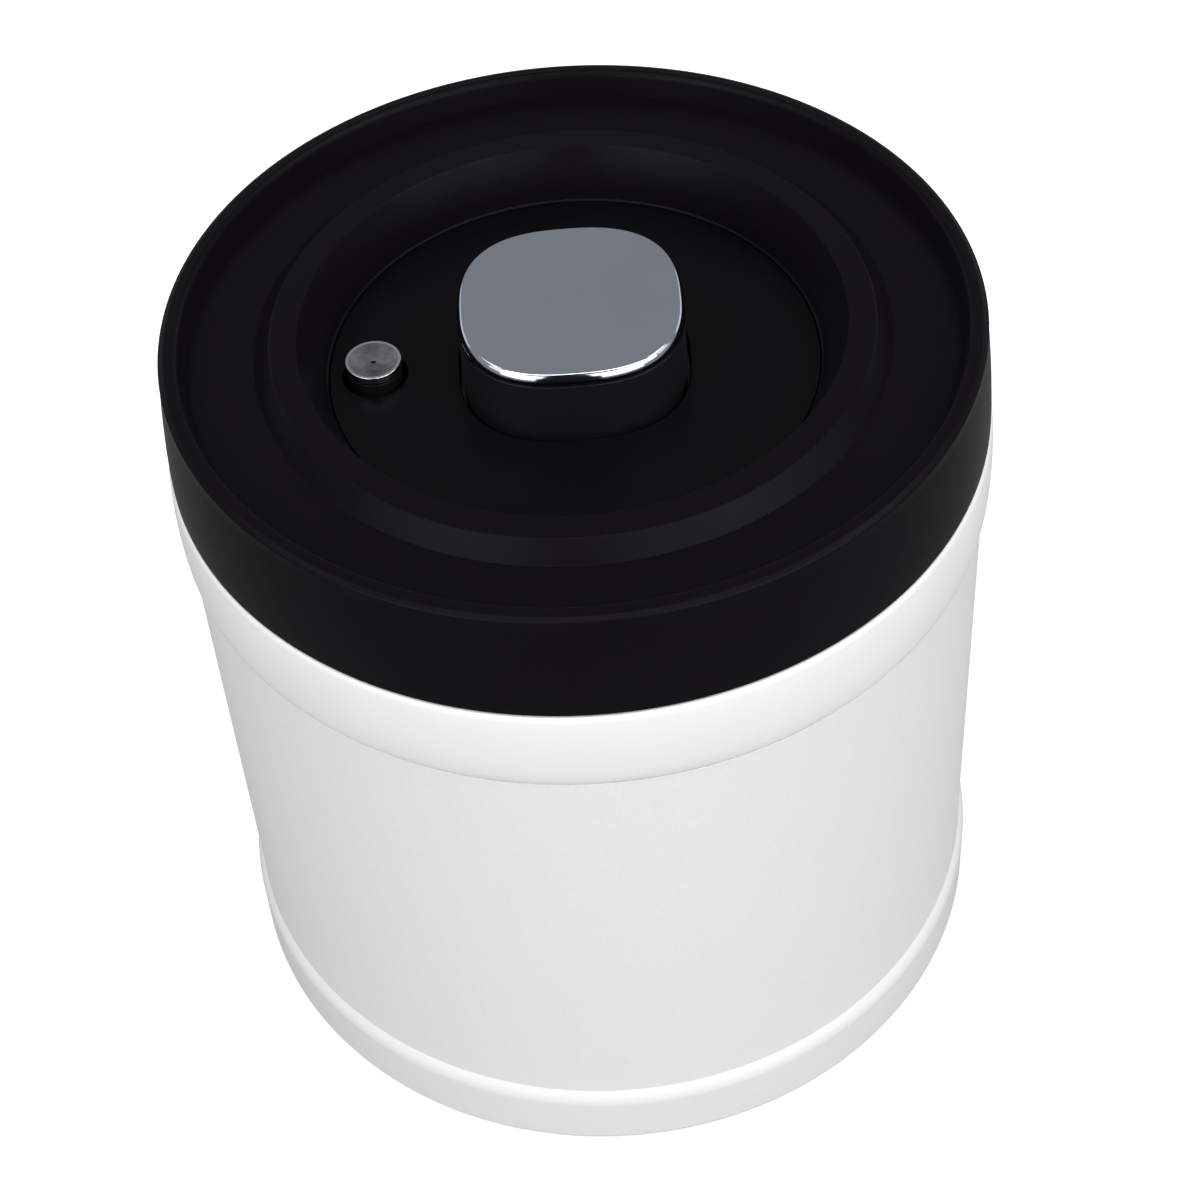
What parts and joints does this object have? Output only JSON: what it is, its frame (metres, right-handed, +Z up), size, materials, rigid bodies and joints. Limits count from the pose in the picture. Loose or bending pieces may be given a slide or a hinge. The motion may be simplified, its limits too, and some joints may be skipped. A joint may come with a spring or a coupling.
{
  "type": "coffee canister",
  "caption": "Round coated-steel coffee canister with a lift-off black lid, a square chromed press knob that pumps air out and a small chromed release button",
  "frame": {"origin": "centre of the canister's foot, on the surface it stands on", "axes": "+Z runs up the canister's axis through the lid and its knob; the release button lies towards -X; -Y is the front"},
  "size_m": [0.1262, 0.1262, 0.1298],
  "materials": {
    "white_coat": "fine-grained satin powder coat",
    "white_plastic": "satin moulded plastic",
    "black_plastic": "fine matte moulded plastic",
    "grey_plastic": "satin moulded plastic",
    "chrome": "bright chrome plating",
    "steel": "brushed stainless steel",
    "silicone": "soft matte silicone"
  },
  "bodies": {
    "canister": {"base_pad": "silicone", "base_cup": "white_plastic", "outer_sleeve": "white_coat", "neck_ring": "white_plastic", "inner_vessel": "steel"},
    "lid": {"lid_cover": "black_plastic", "deck_disc": "black_plastic", "lid_plug": "grey_plastic", "lid_gasket": "silicone", "lid_screw_1": "steel", "lid_screw_2": "steel", "lid_screw_3": "steel", "lid_screw_4": "steel", "pump_cylinder": "grey_plastic", "cylinder_seal": "silicone", "inlet_valve": "silicone", "valve_grille": "grey_plastic", "pump_screw_1": "steel", "pump_screw_2": "steel", "pump_screw_3": "steel", "pump_spring": "steel", "release_spring": "steel"},
    "pump_knob": {"knob_body": "black_plastic", "knob_cap": "chrome", "pump_piston": "grey_plastic", "piston_seal": "silicone", "exhaust_valve": "silicone", "piston_screw_1": "steel", "piston_screw_2": "steel"},
    "release_button": {"button_cap": "chrome", "button_stem": "black_plastic", "release_valve": "silicone", "valve_clip": "steel"}
  },
  "joints": [
    {"name": "lid_lift", "type": "slide", "parent": "canister", "child": "lid", "axis": [0, 0, 1], "range_m": [0, 0.2]},
    {"name": "pump_press", "type": "slide", "parent": "lid", "child": "pump_knob", "axis": [0, 0, -1], "range_m": [0, 0.01], "stiffness_N_per_m": 1300, "springref_m": -0.00225, "deforming": ["pump_spring"]},
    {"name": "release_press", "type": "slide", "parent": "lid", "child": "release_button", "axis": [0, 0, -1], "range_m": [0, 0.0025], "stiffness_N_per_m": 800, "springref_m": -0.0015, "deforming": ["release_spring"]}
  ]
}
